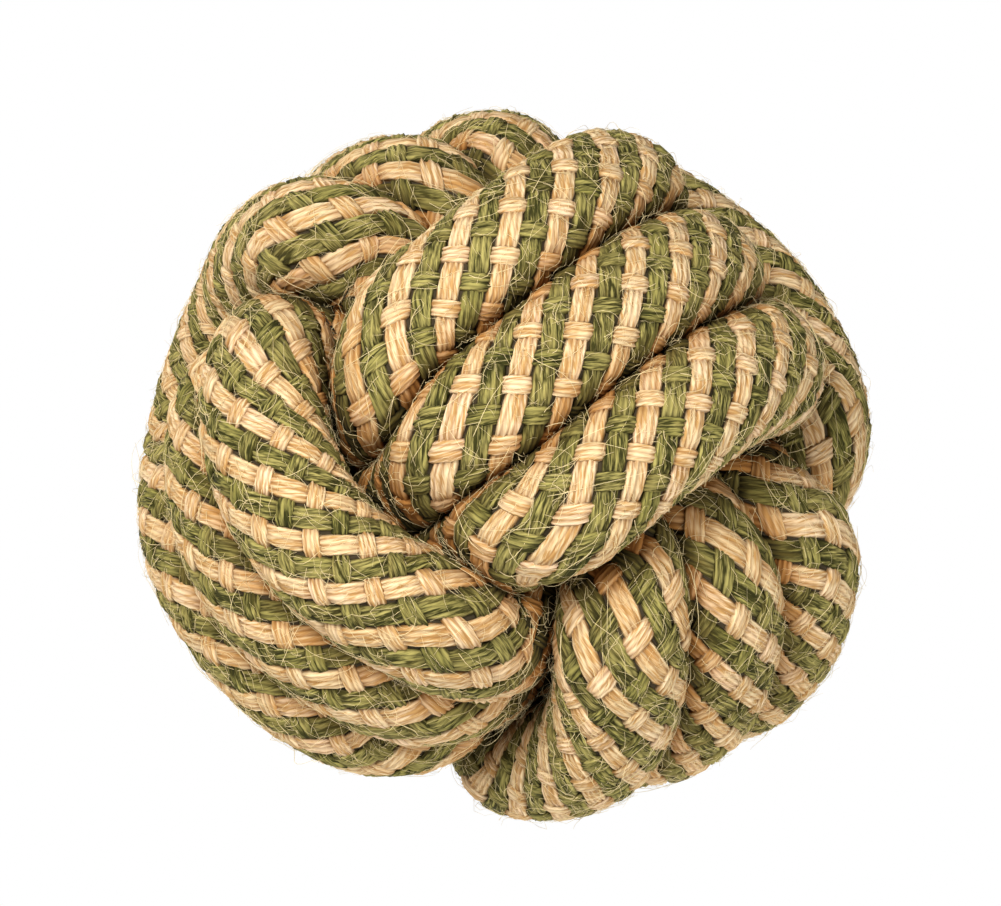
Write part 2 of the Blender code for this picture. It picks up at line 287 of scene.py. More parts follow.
def corner_curve(before, after, ring, outer_reach):
    """The rope's way from the end of this ring's points to the start of the next ring's."""
    across = CORNER_ACROSS * EDGE_PLACE * OUTER_PITCHES[ring]
    corner = np.roll([CORNER_OUT * outer_reach, CORNER_IN * outer_reach, across], ring)
    heading = unit(np.roll(CORNER_HEADING, ring))
    leave, near, past, arrive = np.array(CORNER_HANDLES) * outer_reach
    start, end = before[-1], after[0]
    start_handle = start + leave * unit(before[-1] - before[-2])
    end_handle = end - arrive * unit(after[1] - after[0])
    first = curve_between(start, start_handle, corner - near * heading, corner)
    second = curve_between(corner, corner + past * heading, end_handle, end)
    return np.vstack([first, corner, second])


def straight_tail(tip, beside):
    """Points from one step past the tip to the rope's end, straight on."""
    ahead = unit(tip - beside)
    steps = int(TAIL_STRAIGHT / WALK_STEP)
    return tip + ahead * (TAIL_STRAIGHT / steps) * np.arange(1, steps + 1)[:, None]


def rope_route(inner_reach):
    """The rope's centre-line round the knot's middle, its radii in the part, and its step."""
    outer_reach = outer_reach_of(inner_reach)
    step = WALK_STEP / (4 * quarter_outline(outer_reach, inner_reach)[0][-1])
    spans = [
        (-TAIL_TURNS, LAST_FACE),
        (0.0, LAST_FACE),
        (0.0, LAST_FACE + TAIL_TURNS),
    ]
    points, radii = [], []
    for ring, (first, last) in enumerate(spans):
        route, radius = ring_route(np.arange(first, last, step), inner_reach, ring)
        # The next ring's outward axis is this one's inward axis.
        route = np.roll(route, ring, axis=1)
        if points:
            curve = corner_curve(points[-1], route, ring - 1, outer_reach)
            points.append(curve)
            radii.append(np.linspace(radii[-1][-1], radius[0], len(curve)))
        points.append(route)
        radii.append(radius)
    head = straight_tail(points[0][0], points[0][1])[::-1]
    tail = straight_tail(points[-1][-1], points[-1][-2])
    points = np.vstack([head] + points + [tail])
    radii = np.concatenate([[radii[0][0]] * len(head)] + radii + [[radii[-1][-1]] * len(tail)])
    walked = lengths_along(points)
    places = np.linspace(0, walked[-1], int(walked[-1] / ROUTE_STEP))
    even = np.stack([np.interp(places, walked, points[:, i]) for i in range(3)], axis=1)
    return even, np.interp(places, walked, radii), places[1]


# The soft rope


def carried_frames(points):
    """Two directions square to the line at each point, which turn about it as little as can be."""
    ahead = unit(np.gradient(points, axis=0))
    side = unit(np.cross(ahead[0], FIRST_SIDE))
    sides = []
    for direction in ahead:
        side = unit(side - direction * side.dot(direction))
        sides.append(side)
    sides = np.array(sides)
    return sides, np.cross(ahead, sides)


def room_beside(points, radii, rays, walked):
    """How far each ray goes before it meets a neighbouring turn."""
    hardly = 1e-5
    free = np.full(rays.shape[:2], OPEN)
    for i in range(len(points)):
        apart = points[::2] - points[i]
        square = (apart**2).sum(axis=1)
        other = (np.abs(walked[::2] - walked[i]) > SAME_TURN) & (square < NEAR_TURN**2)
        if other.any():
            smaller = (radii[::2][other] - radii[i]) * THINNER_GIVES
            toward = rays[i] @ apart[other].T + smaller
            reach = (square[other] - smaller**2) / (2 * np.maximum(toward, hardly))
            free[i] = np.where(toward > hardly, reach, OPEN).min(axis=1)
    return free - PRESS_GAP / 2


def room_to_ball(points, rays, ball):
    """How far each ray goes before it meets the ball."""
    from_middle = points - ball.middle
    along = (rays * from_middle[:, None]).sum(axis=2)
    room = along**2 + (ball.radius + BALL_CLEARANCE) ** 2 - (from_middle**2).sum(axis=1)[:, None]
    return np.where((room > 0) & (along < 0), -along - np.sqrt(np.maximum(room, 0)), OPEN)


def room_to_floor(points, rays):
    down = np.minimum(rays[:, :, 2], -1e-4)
    return (points[:, None, 2] - FLOOR_GAP) / -down


def widest_reach(free, size):
    """The reach at which each section, cut off where its room ends, has its full area."""
    low = np.full(len(size), LEAST_REACH)
    high = MOST_BULGE * size
    for _ in range(SECTION_HALVINGS):
        middle = (low + high) / 2
        area = (np.minimum(free, middle[:, None]) ** 2).mean(axis=1)
        low = np.where(area < size**2, middle, low)
        high = np.where(area < size**2, high, middle)
    return high


def smoothed(reach):
    for _ in range(SMOOTHINGS):
        reach = 0.5 * reach + 0.25 * (np.roll(reach, 1, axis=1) + np.roll(reach, -1, axis=1))
        reach[1:-1] = 0.5 * reach[1:-1] + 0.25 * (reach[2:] + reach[:-2])
    return reach


def soft_rope(points, radii, step, ball):
    """The rope's surface, as a ring of points and outward directions at each place, and
    how near it is there to a crease.

    Each section keeps its area, and gives way where a neighbouring turn, the ball or the
    floor is.
    """
    first, second = carried_frames(points)
    angle = even_angles(SECTION_SIDES)
    rays = np.cos(angle)[None, :, None] * first[:, None]
    rays = rays + np.sin(angle)[None, :, None] * second[:, None]
    walked = np.arange(len(points)) * step
    from_end = np.minimum(walked, walked[-1] - walked)
    narrowed = rounded(from_end / TAIL_STRAIGHT - 1)
    size = TAIL_DIAMETER / 2 + (FULL_RADIUS - TAIL_DIAMETER / 2) * narrowed
    beside = np.minimum(
        room_beside(points, radii, rays, walked), room_to_ball(points, rays, ball)
    )
    free = np.minimum(beside, room_to_floor(points, rays))
    away = unit(points - ball.middle)
    outward = np.maximum((rays * away[:, None]).sum(axis=2), 0)
    fill = 1 + SHOULDER_FILL * 4 * outward**2 * (1 - outward**2)
    reach = widest_reach(free, size)[:, None] * fill * (1 - CROWN_FLAT * outward**2)
    reach = np.minimum(smoothed(np.minimum(free, reach)), free)
    # Nearness to a crease, which the material turns into painted brown and dark shade
    crease = np.exp((reach - beside) / CREASE_WIDTH)
    surface = points[:, None] + reach[:, :, None] * rays
    round_about = np.roll(surface, -1, axis=1) - np.roll(surface, 1, axis=1)
    normals = unit(np.cross(round_about, np.gradient(surface, axis=0)))
    return Rope(points, step, surface, normals, crease[..., None])


def on_surface(rope, grid, along, angle):
    """A grid's values at these places: lengths along the rope, and angles round it."""
    row = np.clip(along / rope.step, 0, len(grid) - 1.001)
    column = (angle / (2 * math.pi)) % 1.0 * SECTION_SIDES
    top = np.floor(row).astype(int)
    left = np.floor(column).astype(int) % SECTION_SIDES
    right = (left + 1) % SECTION_SIDES
    down = (row - top)[..., None]
    over = (column - np.floor(column))[..., None]
    upper = grid[top, left] * (1 - over) + grid[top, right] * over
    lower = grid[top + 1, left] * (1 - over) + grid[top + 1, right] * over
    return upper * (1 - down) + lower * down


def placed(rope, along, angle, height):
    """Points at this height over the rope's surface."""
    base = on_surface(rope, rope.surface, along, angle)
    return base + unit(on_surface(rope, rope.normals, along, angle)) * height[..., None]


# Meshes


def new_piece(name, vertices, faces, smooth=True):
    mesh = bpy.data.meshes.new(name)
    mesh.from_pydata(vertices.tolist(), [], faces)
    mesh.polygons.foreach_set("use_smooth", [smooth] * len(mesh.polygons))
    made = bpy.data.objects.new(name, mesh)
    bpy.context.scene.collection.objects.link(made)
    return made


def dressed(made, surface_material, node_name=None):
    """Gives a piece its material, its body and its slot, and hides the part's node that it stands
    for.
    """
    made.data.materials.append(surface_material)
    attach(made, "root")
    if node_name:
        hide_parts(node_name)
    return made


def tube_faces(rings, sides, first=0):
    """Quads of a tube and its two end caps, from the index of its first point."""
    faces = []
    for ring in range(rings - 1):
        start = first + ring * sides
        ahead = start + sides
        for side in range(sides):
            beside = (side + 1) % sides
            faces.append((start + side, start + beside, ahead + beside, ahead + side))
    faces.append(tuple(first + side for side in range(sides - 1, -1, -1)))
    faces.append(tuple(first + (rings - 1) * sides + side for side in range(sides)))
    return faces


def tube_map(rings, sides, rows=1):
    """Where a tube's corners lie on a unit square: its sides in rows, and its caps above."""
    per_row = math.ceil((rings - 1) / rows)
    row_width = 1 - 2 * MAP_MARGIN
    corners = []
    for ring in range(rings - 1):
        row, column = divmod(ring, per_row)
        left, right = (MAP_MARGIN + row_width * (column + step) / per_row for step in (0, 1))
        for side in range(sides):
            low, high = (
                MAP_MARGIN + SIDES_HEIGHT * (row + ROW_FILL * (side + step) / sides) / rows
                for step in (0, 1)
            )
            corners += [(left, low), (left, high), (right, high), (right, low)]
    for cap in CAPS_AT:
        for turn in even_angles(sides):
            over, up = CAP_REACH[0] * math.cos(turn), CAP_REACH[1] * math.sin(turn)
            corners.append((cap + over, CAP_HEIGHT + up))
    return np.array(corners)


def set_map(mesh, corners, count=1):
    """Lays a piece's picture map: a place of its own for each of its like shapes."""
    side = math.ceil(math.sqrt(count))
    cell = np.stack(np.divmod(np.arange(count), side)[::-1], axis=1)
    layer = mesh.uv_layers.new(name="OFBake")
    values = (corners[None] + cell[:, None]) / side
    layer.data.foreach_set("uv", values.astype(np.float32).ravel())


def set_attribute(mesh, name, kind, values):
    made = mesh.attributes.new(name, kind, "POINT")
    field = "vector" if kind == "FLOAT_VECTOR" else "value"
    made.data.foreach_set(field, np.asarray(values, np.float32).ravel())


# Braid


def unrolled(along_stripe, across_stripe):
    """Lengths along the rope, and angles round it, of places on its unrolled surface."""
    cosine, sine = math.cos(STRIPE_ANGLE), STRIPE_HAND * math.sin(STRIPE_ANGLE)
    along = along_stripe * cosine - across_stripe * sine
    return along, (along_stripe * sine + across_stripe * cosine) / ROPE_RADIUS


def braid_cells(length):
    """Every cell: its two places on the unrolled rope, whether its upper strand follows the
    stripe, and whether that strand is a straw one."""
    count = int(length / math.cos(STRIPE_ANGLE) / CELL_STEP) + CELLS_ROUND
    cell, stripe = (
        grid.ravel()
        for grid in np.meshgrid(np.arange(-CELLS_ROUND, count), np.arange(STRIPES), indexing="ij")
    )
    along_stripe = (cell + 0.5) * CELL_STEP
    across_stripe = (stripe + 0.5) * STRIPE_STEP
    place = unrolled(along_stripe, across_stripe)[0]
    on_rope = (place > CELL_STEP / 2) & (place < length - CELL_STEP / 2)
    every = (along_stripe, across_stripe, (cell + stripe) % 2 == 0, stripe % 2 == 1)
    return Cells(*(values[on_rope] for values in every))


def seen_cells(rope, cells, shape):
    """The cells from which some straight line leaves the knot, whose surface is the shape."""
    along, angle = unrolled(cells.along_stripe, cells.across_stripe)
    outward = unit(on_surface(rope, rope.normals, along, angle))
    tries = unit(rng.normal(size=(SIGHT_LINES, 3)))
    seen = np.zeros(len(along), bool)
    for beside in SIGHT_SPOTS:
        height = np.full(len(along), SIGHT_RISE)
        spots = placed(rope, along + beside * STRIPE_STEP, angle, height)
        for i in np.flatnonzero(~seen):
            spot = Vector(spots[i])
            for direction in tries[tries @ outward[i] > LEAST_SLOPE]:
                if shape.ray_cast(spot, Vector(direction))[0] is None:
                    seen[i] = True
                    break
    return seen


def with_cells_beside(seen, cells):
    """The seen cells and the four next to each, so that no edge of a gap stays bare."""
    cell = np.floor(cells.along_stripe / CELL_STEP).astype(int)
    stripe = np.floor(cells.across_stripe / STRIPE_STEP).astype(int)
    wide = seen.copy()
    for over, ahead in ((0, 1), (0, -1), (1, 0), (-1, 0)):
        rounds, beside = np.divmod(stripe[seen] + over, STRIPES)
        there = cell[seen] + ahead - rounds * STRIPE_HAND * CELLS_ROUND
        wide |= np.isin(cell * STRIPES + stripe, there * STRIPES + beside)
    return wide


def strand_points(rope, along_stripe, across_stripe, lengthwise):
    """The points of every float, their shades, and their places in its grain."""
    count = len(along_stripe)
    half = np.where(lengthwise, LENGTHWISE_HALF, CROSSWISE_HALF)
    width = np.where(lengthwise, LENGTHWISE_WIDTH, CROSSWISE_WIDTH)
    shape = (count, len(STATIONS), ACROSS_POINTS)
    each_yarn = (count, 1, ACROSS_POINTS)
    yarn = np.arange(ACROSS_POINTS)
    station = STATIONS[None, :, None]
    valley = (yarn % 2 == 0).astype(float)
    edge = ((yarn == 0) | (yarn == ACROSS_POINTS - 1)).astype(float)
    across = np.linspace(-0.5, 0.5, ACROSS_POINTS) + np.zeros(shape)
    across = across + rng.normal(0, YARN_WANDER, each_yarn) * (1 - edge)
    across = across + rng.normal(0, POINT_WANDER, shape)
    narrow = 1 - END_NARROWING * np.abs(station) ** 3
    v = across * narrow * (width * rng.normal(1, WIDTH_SPREAD, count))[:, None, None]
    u = station * half[:, None, None] + rng.normal(0, END_STAGGER, each_yarn)
    tilt = rng.normal(0, TILT_SPREAD, count)[:, None, None]
    u, v = u * np.cos(tilt) - v * np.sin(tilt), u * np.sin(tilt) + v * np.cos(tilt)
    rise = STATION_RISE[None, :, None] + np.zeros(shape)
    rise += np.where(lengthwise, 0.0, CROSSWISE_RAISE)[:, None, None]
    rise -= valley * RIB_DEPTH * (1 - edge)
    rise -= edge * SIDE_DROP + SIDE_ROUNDING * (2 * np.abs(across)) ** 4
    rise += rng.normal(0, YARN_RISE_SPREAD, each_yarn) * (1 - edge)
    rise += rng.normal(0, POINT_RISE_SPREAD, shape) * (1 - edge)
    follows = lengthwise[:, None, None]
    place, round_it = unrolled(
        along_stripe[:, None, None] + np.where(follows, u, v),
        across_stripe[:, None, None] + np.where(follows, v, -u),
    )
    points = placed(rope, place, round_it, rise)
    tone, hue = (share_yarns(rng.random((count, 1, YARNS)), shape) for _ in range(2))
    tone = OWN_TONE * tone + (1 - OWN_TONE) * rng.random((count, 1, 1))
    hue = OWN_HUE * hue + (1 - OWN_HUE) * rng.random((count, 1, 1))
    # depth is painted shade: in the valleys between the yarns, and toward a float's ends, where it
    # dives under the next
    depth = RIB_SHADE * valley + np.maximum(np.abs(station) - END_SHADE_FROM, 0) * END_SHADE
    depth = np.broadcast_to(np.clip(depth, 0, 1), shape)
    crease = on_surface(rope, rope.crease, place, round_it)[..., 0]
    away = rng.random((count, 1, 1)) * GRAIN_SPREAD + np.zeros(shape)
    grain = np.stack([u / MM, v / MM + GRAIN_SLANT * u / MM, away], axis=-1)
    return points, {"tone": tone, "hue": hue, "depth": depth, "crease": crease}, grain


def share_yarns(values, shape):
    """One value for each yarn of a float, given to all of its points."""
    values = np.repeat(values, 2, axis=2)
    return np.broadcast_to(np.concatenate([values, values[:, :, -1:]], axis=2), shape)


def strand_faces(count):
    """Faces of one float after another, the last of each closing it below, and one's own."""
    rows, columns = len(STATIONS), ACROSS_POINTS
    block = []
    for i in range(rows - 1):
        for j in range(columns - 1):
            start = i * columns + j
            block.append((start, start + 1, start + columns + 1, start + columns))
    rim = list(range(columns))
    rim += [i * columns + columns - 1 for i in range(1, rows)]
    rim += [(rows - 1) * columns + j for j in range(columns - 2, -1, -1)]
    rim += [i * columns for i in range(rows - 2, 0, -1)]
    block.append(tuple(rim[::-1]))
    size = rows * columns
    return [tuple(k * size + i for i in face) for k in range(count) for face in block], block


def strand_map(block):
    """Where one float's corners lie on a unit square: its top above its underside."""
    rows, columns = len(STATIONS), ACROSS_POINTS
    i, j = np.divmod(np.arange(rows * columns), columns)
    top = np.stack([0.06 + 0.88 * i / (rows - 1), 0.2 + 0.74 * j / (columns - 1)], axis=1)
    under = np.stack([top[:, 0], 0.03 + 0.12 * j / (columns - 1)], axis=1)
    return np.array([top[k] for face in block[:-1] for k in face] + [under[k] for k in block[-1]])


def make_strands(name, rope, cells, chosen, surface_material):
    """The floats of one colour, in these cells."""
    along_stripe, across_stripe, lengthwise = (values[chosen] for values in cells[:3])
    points, shades, grain = strand_points(rope, along_stripe, across_stripe, lengthwise)
    faces, block = strand_faces(len(along_stripe))
    made = new_piece(name, points.reshape(-1, 3), faces)
    mesh = made.data
    smooth = np.ones(len(mesh.polygons), bool)
    smooth[len(block) - 1 :: len(block)] = False
    mesh.polygons.foreach_set("use_smooth", smooth)
    for shade_name, values in shades.items():
        set_attribute(mesh, shade_name, "FLOAT", values)
    set_attribute(mesh, "grain", "FLOAT_VECTOR", grain)
    set_map(mesh, strand_map(block), len(along_stripe))
    return dressed(made, surface_material)


def make_base(rope, surface_material):
    """The inside of the braid, a closed tube just under its strands, coloured near black as
    painted shadow.
    """
    every = slice(0, None, BASE_EVERY)
    rows = (rope.surface[every] - rope.normals[every] * BASE_INSET)[:, every]
    rings, sides = rows.shape[:2]
    made = new_piece("braid_inside", rows.reshape(-1, 3), tube_faces(rings, sides))
    set_map(made.data, tube_map(rings, sides, rows=24))
    return dressed(made, surface_material, "rope_cover")


def make_fibres(name, kind, rope, cells, chosen, surface_material):
    """Thin curly hairs that stand off the strands, three-sided and tapered."""
    count = kind.number
    picked = rng.choice(np.flatnonzero(chosen), count)
    along, angle = unrolled(cells.along_stripe[picked], cells.across_stripe[picked])
    start_along = along + rng.normal(0, ROOT_SPREAD, count)
    start_angle = angle + rng.normal(0, ROOT_SPREAD, count) / ROPE_RADIUS
    length = rng.gamma(3.0, kind.least_length, count) + kind.least_length
    t = np.linspace(0, 1, kind.points)[None, :]
    heading = rng.choice([STRIPE_ANGLE, STRIPE_ANGLE - math.pi / 2], count) * STRIPE_HAND
    heading = heading + rng.choice([0, math.pi], count)
    heading = heading + rng.normal(0, HEADING_SPREAD, count)
    bend = rng.normal(0, kind.curl, count)
    wave = rng.normal(0, 0.4 * kind.curl, count)
    phase = rng.random(count)[:, None] * 6.3
    direction = heading[:, None] + bend[:, None] * t + wave[:, None] * np.sin(6 * t + phase)
    step = (length / (kind.points - 1))[:, None]
    forward = np.cumsum(np.cos(direction) * step, axis=1)
    sideways = np.cumsum(np.sin(direction) * step, axis=1)
    lift = rng.gamma(1.3, kind.stand_off, count)[:, None]
    arched = (rng.random(count) < 0.5)[:, None]
    profile = np.where(arched, np.sin(math.pi * t), t**1.6)
    height = ROOT_HEIGHT + lift * profile + FIBRE_WAVE * np.sin(9 * t + phase)
    spread_angle = start_angle[:, None] + sideways / ROPE_RADIUS
    line = placed(rope, start_along[:, None] + forward, spread_angle, height)
    line[..., 2] = np.maximum(line[..., 2], FIBRE_FLOOR_GAP)
    ahead = unit(np.gradient(line, axis=1))
    side = unit(np.cross(ahead, unit(rng.normal(size=(count, 1, 3)))))
    other = np.cross(ahead, side)
    radius = kind.root_radius * (0.7 + 0.6 * rng.random((count, 1))) * (1 - FIBRE_TAPER * t)
    corners = even_angles(3)[:, None]
    ring = side[:, :, None] * np.cos(corners) + other[:, :, None] * np.sin(corners)
    points = line[:, :, None] + ring * radius[:, :, None, None]
    faces = []
    for fibre in range(count):
        faces += tube_faces(kind.points, 3, fibre * kind.points * 3)
    made = new_piece(name, points.reshape(-1, 3), faces)
    set_map(made.data, tube_map(kind.points, 3), count)
    return dressed(made, surface_material)


# Filler, whippings and ball


def make_filler(rope, surface_material):
    """The cotton filler: seven soft yarns laid up into one, seen as lobes."""
    every = slice(0, None, FILLER_EVERY)
    least = np.linalg.norm(rope.surface - rope.line[:, None], axis=2).min(axis=1)[every]
    angle = even_angles(FILLER_SIDES)
    twist = lengths_along(rope.line)[every] / FILLER_LAY * 2 * math.pi
    lobes = 1 + LOBE_DEPTH * np.cos(FILLER_LOBES * (angle[None, :] + twist[:, None]))
    first, second = (side[every] for side in carried_frames(rope.line))
    rays = first[:, None] * np.cos(angle)[:, None] + second[:, None] * np.sin(angle)[:, None]
    reach = least[:, None] * FILLER_SHARE * lobes
    points = rope.line[every][:, None] + rays * reach[..., None]
    rings = len(points)
    made = new_piece("cotton_yarns", points.reshape(-1, 3), tube_faces(rings, FILLER_SIDES))
    set_map(made.data, tube_map(rings, FILLER_SIDES, rows=16))
    return dressed(made, surface_material, "rope_filler")


def make_whipping(name, node_name, end, inside, surface_material):
    """Twine wound round one end of the rope, turn beside turn."""
    ahead = unit(inside - end)
    side = unit(np.cross(ahead, TWINE_START))
    other = np.cross(ahead, side)
    turns = WHIPPING_LENGTH / TWINE_DIAMETER - 1
    count = int(turns * TWINE_POINTS)
    turned = np.linspace(0, turns * 2 * math.pi, count)[:, None]
    reach = TAIL_DIAMETER / 2 + WHIPPING_CLEARANCE + TWINE_DIAMETER / 2
    margin = (TAIL_STRAIGHT - WHIPPING_LENGTH) / 2 + TWINE_DIAMETER / 2
    outward = side * np.cos(turned) + other * np.sin(turned)
    middle = end + ahead * (margin + turned * TWINE_DIAMETER / (2 * math.pi)) + outward * reach
    angle = even_angles(TWINE_SIDES)[:, None]
    ring = outward[:, None] * np.cos(angle) + ahead * np.sin(angle)
    points = middle[:, None] + ring * TWINE_DIAMETER * TWINE_SQUEEZE
    made = new_piece(name, points.reshape(-1, 3), tube_faces(count, TWINE_SIDES))
    set_map(made.data, tube_map(count, TWINE_SIDES, rows=6))
    return dressed(made, surface_material, node_name)


def make_ball(ball, surface_material):
    """The turned wooden ball, with its two small pads and three scored lines."""
    lift = np.linspace(-math.pi / 2, math.pi / 2, BALL_RINGS)[1:-1]
    scores = sum(np.exp(-(((lift - at) / SCORE_WIDTH) ** 2)) for at in SCORES_AT)
    reach = ball.radius - SCORE_DEPTH * scores
    pad = PADS_AT * ball.radius
    height = np.clip(reach * np.sin(lift), -pad, pad)[:, None]
    angle = even_angles(BALL_SIDES)
    wide = (reach * np.cos(lift))[:, None]
    points = np.stack(
        np.broadcast_arrays(wide * np.cos(angle), wide * np.sin(angle), height), axis=-1
    )
    points = points + ball.middle
    made = new_piece("turned_ball", points.reshape(-1, 3), tube_faces(len(lift), BALL_SIDES))
    set_map(made.data, tube_map(len(lift), BALL_SIDES))
    return dressed(made, surface_material, "core_ball")


# Materials


def node(tree, kind, **settings):
    made = tree.nodes.new(kind)
    for name, value in settings.items():
        setattr(made, name, value)
    return made


def fed(tree, socket, value):
    """Gives an input another node's output, or a constant."""
    if isinstance(value, bpy.types.NodeSocket):
        tree.links.new(value, socket)
    else:
        socket.default_value = value


def mixed(tree, factor, first, second):
    """A mix of two colours."""
    made = node(tree, "ShaderNodeMix", data_type="RGBA")
    for socket, value in ((0, factor), (6, first), (7, second)):
        fed(tree, made.inputs[socket], value)
    return made.outputs[2]


def computed(tree, operation, *values):
    made = node(tree, "ShaderNodeMath", operation=operation)
    for socket, value in zip(made.inputs, values):
        fed(tree, socket, value)
    return made.outputs[0]


def clamped(tree, value):
    made = node(tree, "ShaderNodeClamp")
    tree.links.new(value, made.inputs["Value"])
    return made.outputs[0]


def stretched_noise(tree, place, stretch, detail):
    """Noise drawn out along a yarn: stretch is how fine it is along, across and through."""
    scaled = node(tree, "ShaderNodeVectorMath", operation="MULTIPLY")
    tree.links.new(place, scaled.inputs[0])
    fed(tree, scaled.inputs[1], stretch)
    noise = node(tree, "ShaderNodeTexNoise")
    noise.inputs["Scale"].default_value = 1.0
    noise.inputs["Detail"].default_value = detail
    noise.inputs["Roughness"].default_value = 0.65
    tree.links.new(scaled.outputs[0], noise.inputs["Vector"])
    return noise.outputs["Fac"]


def new_group(name, colours, numbers=()):
    """An empty group that takes these colours and numbers, and gives a colour and a height."""
    group = bpy.data.node_groups.new(name, "ShaderNodeTree")
    taken = [(colour, "NodeSocketColor") for colour in colours]
    taken += [(number, "NodeSocketFloat") for number in numbers]
    for socket, kind in taken:
        group.interface.new_socket(name=socket, in_out="INPUT", socket_type=kind)
    for socket, kind in (("Color", "NodeSocketColor"), ("Height", "NodeSocketFloat")):
        group.interface.new_socket(name=socket, in_out="OUTPUT", socket_type=kind)
    return group, node(group, "NodeGroupInput").outputs, node(group, "NodeGroupOutput").inputs


def jute_group():
    """Fibre grain of a jute yarn: its colour, from pale to deep, with painted shade between its
    yarns and in its creases, and its relief.
    """
    group, taken, given = new_group("jute_grain", ("Pale", "Deep", "Rusty", "Blush", "Shade"))
    grain, tone, hue, depth, crease = (
        node(group, "ShaderNodeAttribute", attribute_name=name).outputs
        for name in ("grain", "tone", "hue", "depth", "crease")
    )
    fibres = stretched_noise(group, grain["Vector"], (0.3, 2.4, 1.0), 4.0)
    strands = stretched_noise(group, grain["Vector"], (0.45, 4.5, 1.0), 2.0)
    blotch = stretched_noise(group, grain["Vector"], (0.3, 0.5, 1.0), 2.0)

    # Pale and deep streaks
    streak = computed(group, "MULTIPLY_ADD", fibres, 3.7, -1.85)
    streak = computed(group, "MULTIPLY_ADD", strands, 3.9, computed(group, "ADD", streak, -1.95))
    amount = computed(group, "MULTIPLY_ADD", tone["Fac"], 0.6, streak)
    amount = clamped(group, computed(group, "MULTIPLY_ADD", blotch, 0.5, amount))
    blush = computed(group, "POWER", computed(group, "SUBTRACT", 1.0, hue["Fac"]), 1.5)
    pale = mixed(group, blush, taken["Pale"], taken["Blush"])
    colour = mixed(group, amount, taken["Deep"], pale)

    # Rust-brown yarns and patches, and painted brown shade in the creases
    rusty = computed(group, "MULTIPLY", computed(group, "POWER", hue["Fac"], 4.0), 0.45)
    rusty = computed(group, "MULTIPLY_ADD", crease["Fac"], 1.0, rusty)
    patch = clamped(group, computed(group, "MULTIPLY_ADD", blotch, 4.0, -2.1))
    rusty = clamped(group, computed(group, "MULTIPLY_ADD", patch, 0.4, rusty))
    colour = mixed(group, rusty, colour, taken["Rusty"])

    # Painted shade between the yarns and toward the floats' ends, and painted dark shade deep in
    # the creases
    crease_shade = computed(group, "MULTIPLY", computed(group, "POWER", crease["Fac"], 1.9), 0.7)
    painted_shade = computed(group, "POWER", depth["Fac"], 1.3)
    painted_shade = clamped(group, computed(group, "MULTIPLY_ADD", painted_shade, 0.8, crease_shade))
    group.links.new(mixed(group, painted_shade, colour, taken["Shade"]), given["Color"])
    group.links.new(computed(group, "MULTIPLY_ADD", strands, 0.5, fibres), given["Height"])
    return group


def yarn_group():
    """Fine grain of a plain yarn: its colour, from light to dark, and its relief."""
    group, taken, given = new_group("yarn_grain", ("Light", "Dark"), ("Fineness",))
    place = node(group, "ShaderNodeTexCoord").outputs["Object"]
    grain = stretched_noise(group, place, taken["Fineness"], 4.0)
    group.links.new(mixed(group, grain, taken["Dark"], taken["Light"]), given["Color"])
    group.links.new(grain, given["Height"])
    return group


def plain_material(name, colour, roughness):
    made = bpy.data.materials.new(name)
    made.use_nodes = True
    shader = made.node_tree.nodes["Principled BSDF"]
    shader.inputs["Base Color"].default_value = (*colour, 1.0)
    shader.inputs["Roughness"].default_value = roughness
    return made, made.node_tree, shader


def with_grain(material, group, strength, distance):
    """Places a grain group in a material, with its relief, and gives the group's inputs."""
    _, tree, shader = material
    grain = node(tree, "ShaderNodeGroup", node_tree=group)
    tree.links.new(grain.outputs["Color"], shader.inputs["Base Color"])
    relief = node(tree, "ShaderNodeBump")
    relief.inputs["Strength"].default_value = strength
    relief.inputs["Distance"].default_value = distance
    tree.links.new(grain.outputs["Height"], relief.inputs["Height"])
    tree.links.new(relief.outputs["Normal"], shader.inputs["Normal"])
    return grain.inputs


def jute_material(name, group, **colours):
    material = plain_material(name, colours["pale"], 0.9)
    taken = with_grain(material, group, strength=0.75, distance=0.3 * MM)
    for socket, colour in colours.items():
        taken[socket.title()].default_value = (*colour, 1.0)
    made, _, shader = material
    shader.inputs["Specular IOR Level"].default_value = 0.15
    return made


def yarn_material(name, group, colour, roughness, fineness):
    material = plain_material(name, colour, roughness)
    taken = with_grain(material, group, strength=0.6, distance=0.2 * MM)
    taken["Light"].default_value = (*colour, 1.0)
    taken["Dark"].default_value = (*(0.6 * value for value in colour), 1.0)
    taken["Fineness"].default_value = fineness
    return material[0]


def wood_material():
    """Beech: rings of growth through the ball, with short flecks."""
    made, tree, shader = plain_material("beech_wood", (0.62, 0.42, 0.24), 0.5)
    place = node(tree, "ShaderNodeTexCoord").outputs["Object"]
    warp = stretched_noise(tree, place, (40.0, 40.0, 12.0), 3.0)
    rings = node(tree, "ShaderNodeTexWave", wave_type="RINGS")
    rings.inputs["Scale"].default_value = 45.0
    rings.inputs["Distortion"].default_value = 5.0
    tree.links.new(place, rings.inputs["Vector"])
    flecks = stretched_noise(tree, place, (900.0, 900.0, 90.0), 2.0)
    colour = mixed(tree, rings.outputs["Fac"], (0.66, 0.45, 0.26, 1.0), (0.50, 0.31, 0.16, 1.0))
    colour = mixed(tree, computed(tree, "MULTIPLY", warp, 0.4), colour, (0.42, 0.25, 0.12, 1.0))
    fleck = computed(tree, "GREATER_THAN", flecks, 0.62)
    colour = mixed(tree, computed(tree, "MULTIPLY", fleck, 0.5), colour, (0.33, 0.18, 0.08, 1.0))
    tree.links.new(colour, shader.inputs["Base Color"])
    return made


# The knot

